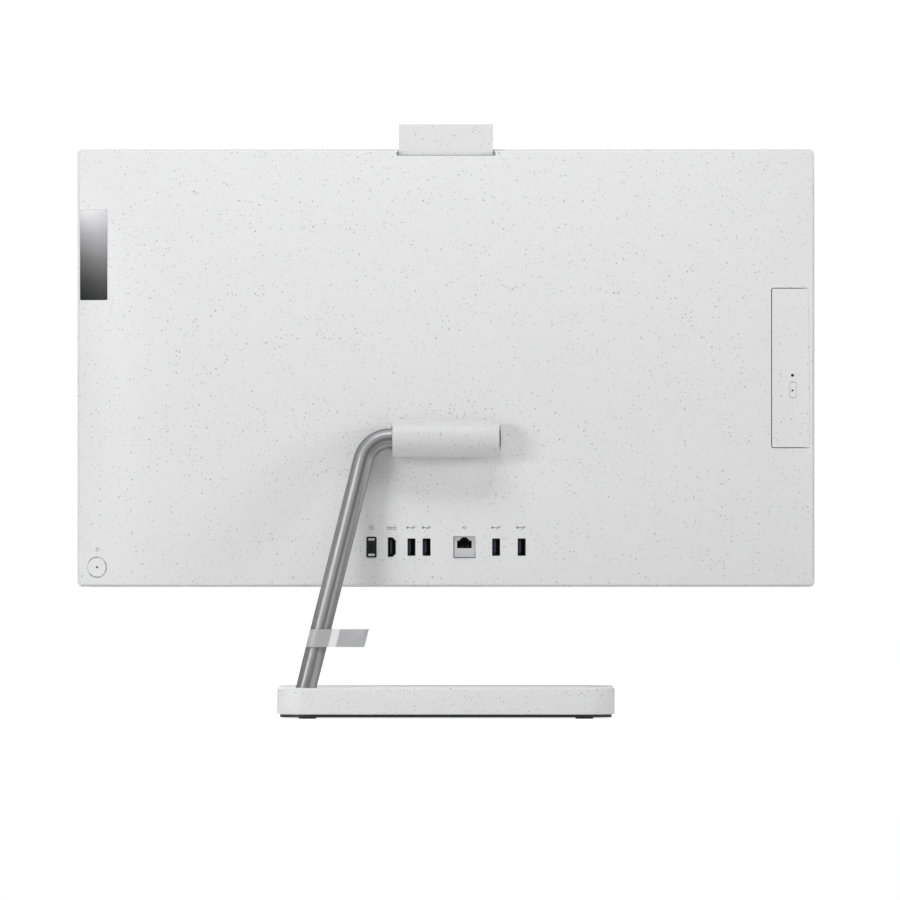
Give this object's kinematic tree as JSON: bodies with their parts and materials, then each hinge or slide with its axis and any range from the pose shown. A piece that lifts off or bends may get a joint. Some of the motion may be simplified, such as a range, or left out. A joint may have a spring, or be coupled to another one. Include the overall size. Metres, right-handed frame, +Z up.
{
  "type": "all in one pc",
  "caption": "All-in-one desktop computer: wide screen with a domed speckled rear cover on a tilting hinge barrel, bent tube stand, flat base, rising camera and side disc tray.",
  "frame": {"origin": "middle of the footprint on the desk, under the feet", "axes": "+Z up, +X along the screen's width (the stand's tube is on +X), the screen faces -Y and the sockets +Y"},
  "size_m": [0.6172, 0.2, 0.4963],
  "materials": {
    "speckled_white": "matte with fine grey speckles",
    "polished_aluminium": "polished",
    "clear_clip": "translucent",
    "black_plastic": "fine matte",
    "foot_rubber": "matte",
    "plain_steel": "zinc plated",
    "socket_metal": "nickel plated",
    "bush_bronze": "plain",
    "bright_badge": "polished",
    "screen_glass": "glossy",
    "panel": "dark",
    "panel_metal": "satin",
    "light_guide": "clear light guide in a thin tray",
    "circuit_board": "solder mask",
    "copper": "plain copper",
    "fin_aluminium": "satin"
  },
  "bodies": {
    "stand": {"base_feet": "foot_rubber", "base_plate": "black_plastic", "base_weight": "plain_steel", "base_cover": "speckled_white", "tube_socket": "plain_steel", "base_screws": "plain_steel", "socket_screws": "plain_steel", "stand_tube": "polished_aluminium", "tube_collar": "plain_steel"},
    "clip": {"cable_clip": "clear_clip"},
    "camera": {"camera_housing": "speckled_white", "camera_lens": "black_plastic", "camera_window": "screen_glass"},
    "tray": {"disc_tray": "black_plastic", "disc_bezel": "speckled_white", "spindle_motor": "plain_steel"},
    "rails": {"tray_rails": "plain_steel"},
    "spindle": {"disc_spindle": "black_plastic"},
    "eject": {"eject_button": "speckled_white"},
    "power_key": {"power_button": "speckled_white"},
    "fan": {"fan_impeller": "black_plastic"},
    "display": {"rear_cover": "speckled_white", "hinge_barrel": "speckled_white", "barrel_cap": "speckled_white", "front_frame": "speckled_white", "speakers": "black_plastic", "memory_sockets": "black_plastic", "blower_housing": "black_plastic", "camera_guides": "black_plastic", "power_socket": "black_plastic", "hinge_bracket": "plain_steel", "chassis_plate": "plain_steel", "disc_drive_case": "plain_steel", "hinge_screws": "plain_steel", "panel_screws": "plain_steel", "board_screws": "plain_steel", "storage_bracket": "plain_steel", "board_standoffs": "plain_steel", "usb_sockets": "socket_metal", "network_socket": "socket_metal", "display_socket": "socket_metal", "wireless_card": "socket_metal", "coin_cell": "socket_metal", "hinge_bushes": "bush_bronze", "badge_plate": "bright_badge", "front_glass": "screen_glass", "lcd_panel": "panel", "storage_drive": "panel_metal", "backlight_unit": "light_guide", "mainboard": "circuit_board", "memory_modules": "circuit_board", "power_switch_board": "circuit_board", "processor": "circuit_board", "heat_pipe": "copper", "cold_plate": "copper", "cooling_fins": "fin_aluminium"}
  },
  "joints": [
    {"name": "display_tilt", "type": "hinge", "parent": "stand", "child": "display", "pos_m": [0, 0.036, 0.2331], "axis": [-1, 0, 0], "range_deg": [-5, 20]},
    {"name": "clip_slide", "type": "slide", "parent": "stand", "child": "clip", "axis": [-0.2409, -0.1183, 0.9633], "range_m": [-0.03, 0.12]},
    {"name": "camera_slide", "type": "slide", "parent": "display", "child": "camera", "axis": [0, 0, -1], "range_m": [0, 0.0209]},
    {"name": "tray_slide", "type": "slide", "parent": "display", "child": "tray", "axis": [-1, 0, 0], "range_m": [0, 0.12]},
    {"name": "rail_slide", "type": "slide", "parent": "display", "child": "rails", "axis": [-1, 0, 0], "range_m": [0, 0.06]},
    {"name": "spindle_spin", "type": "hinge", "parent": "tray", "child": "spindle", "pos_m": [-0.2097, -0.008, 0.29215], "axis": [0, 1, 0], "continuous": true},
    {"name": "fan_spin", "type": "hinge", "parent": "display", "child": "fan", "pos_m": [0.17, -0.008, 0.3968], "axis": [0, 1, 0], "continuous": true},
    {"name": "eject_press", "type": "slide", "parent": "tray", "child": "eject", "axis": [0.4606, -0.8876, -0.0088], "range_m": [0, 0.0008], "stiffness_N_per_m": 800, "springref_m": -0.001},
    {"name": "power_press", "type": "slide", "parent": "display", "child": "power_key", "axis": [-0.4249, -0.9044, 0.0383], "range_m": [0, 0.0008], "stiffness_N_per_m": 800, "springref_m": -0.001}
  ],
  "couplings": [
    {"joint": "rail_slide", "follows": "tray_slide", "ratio": 0.5}
  ]
}
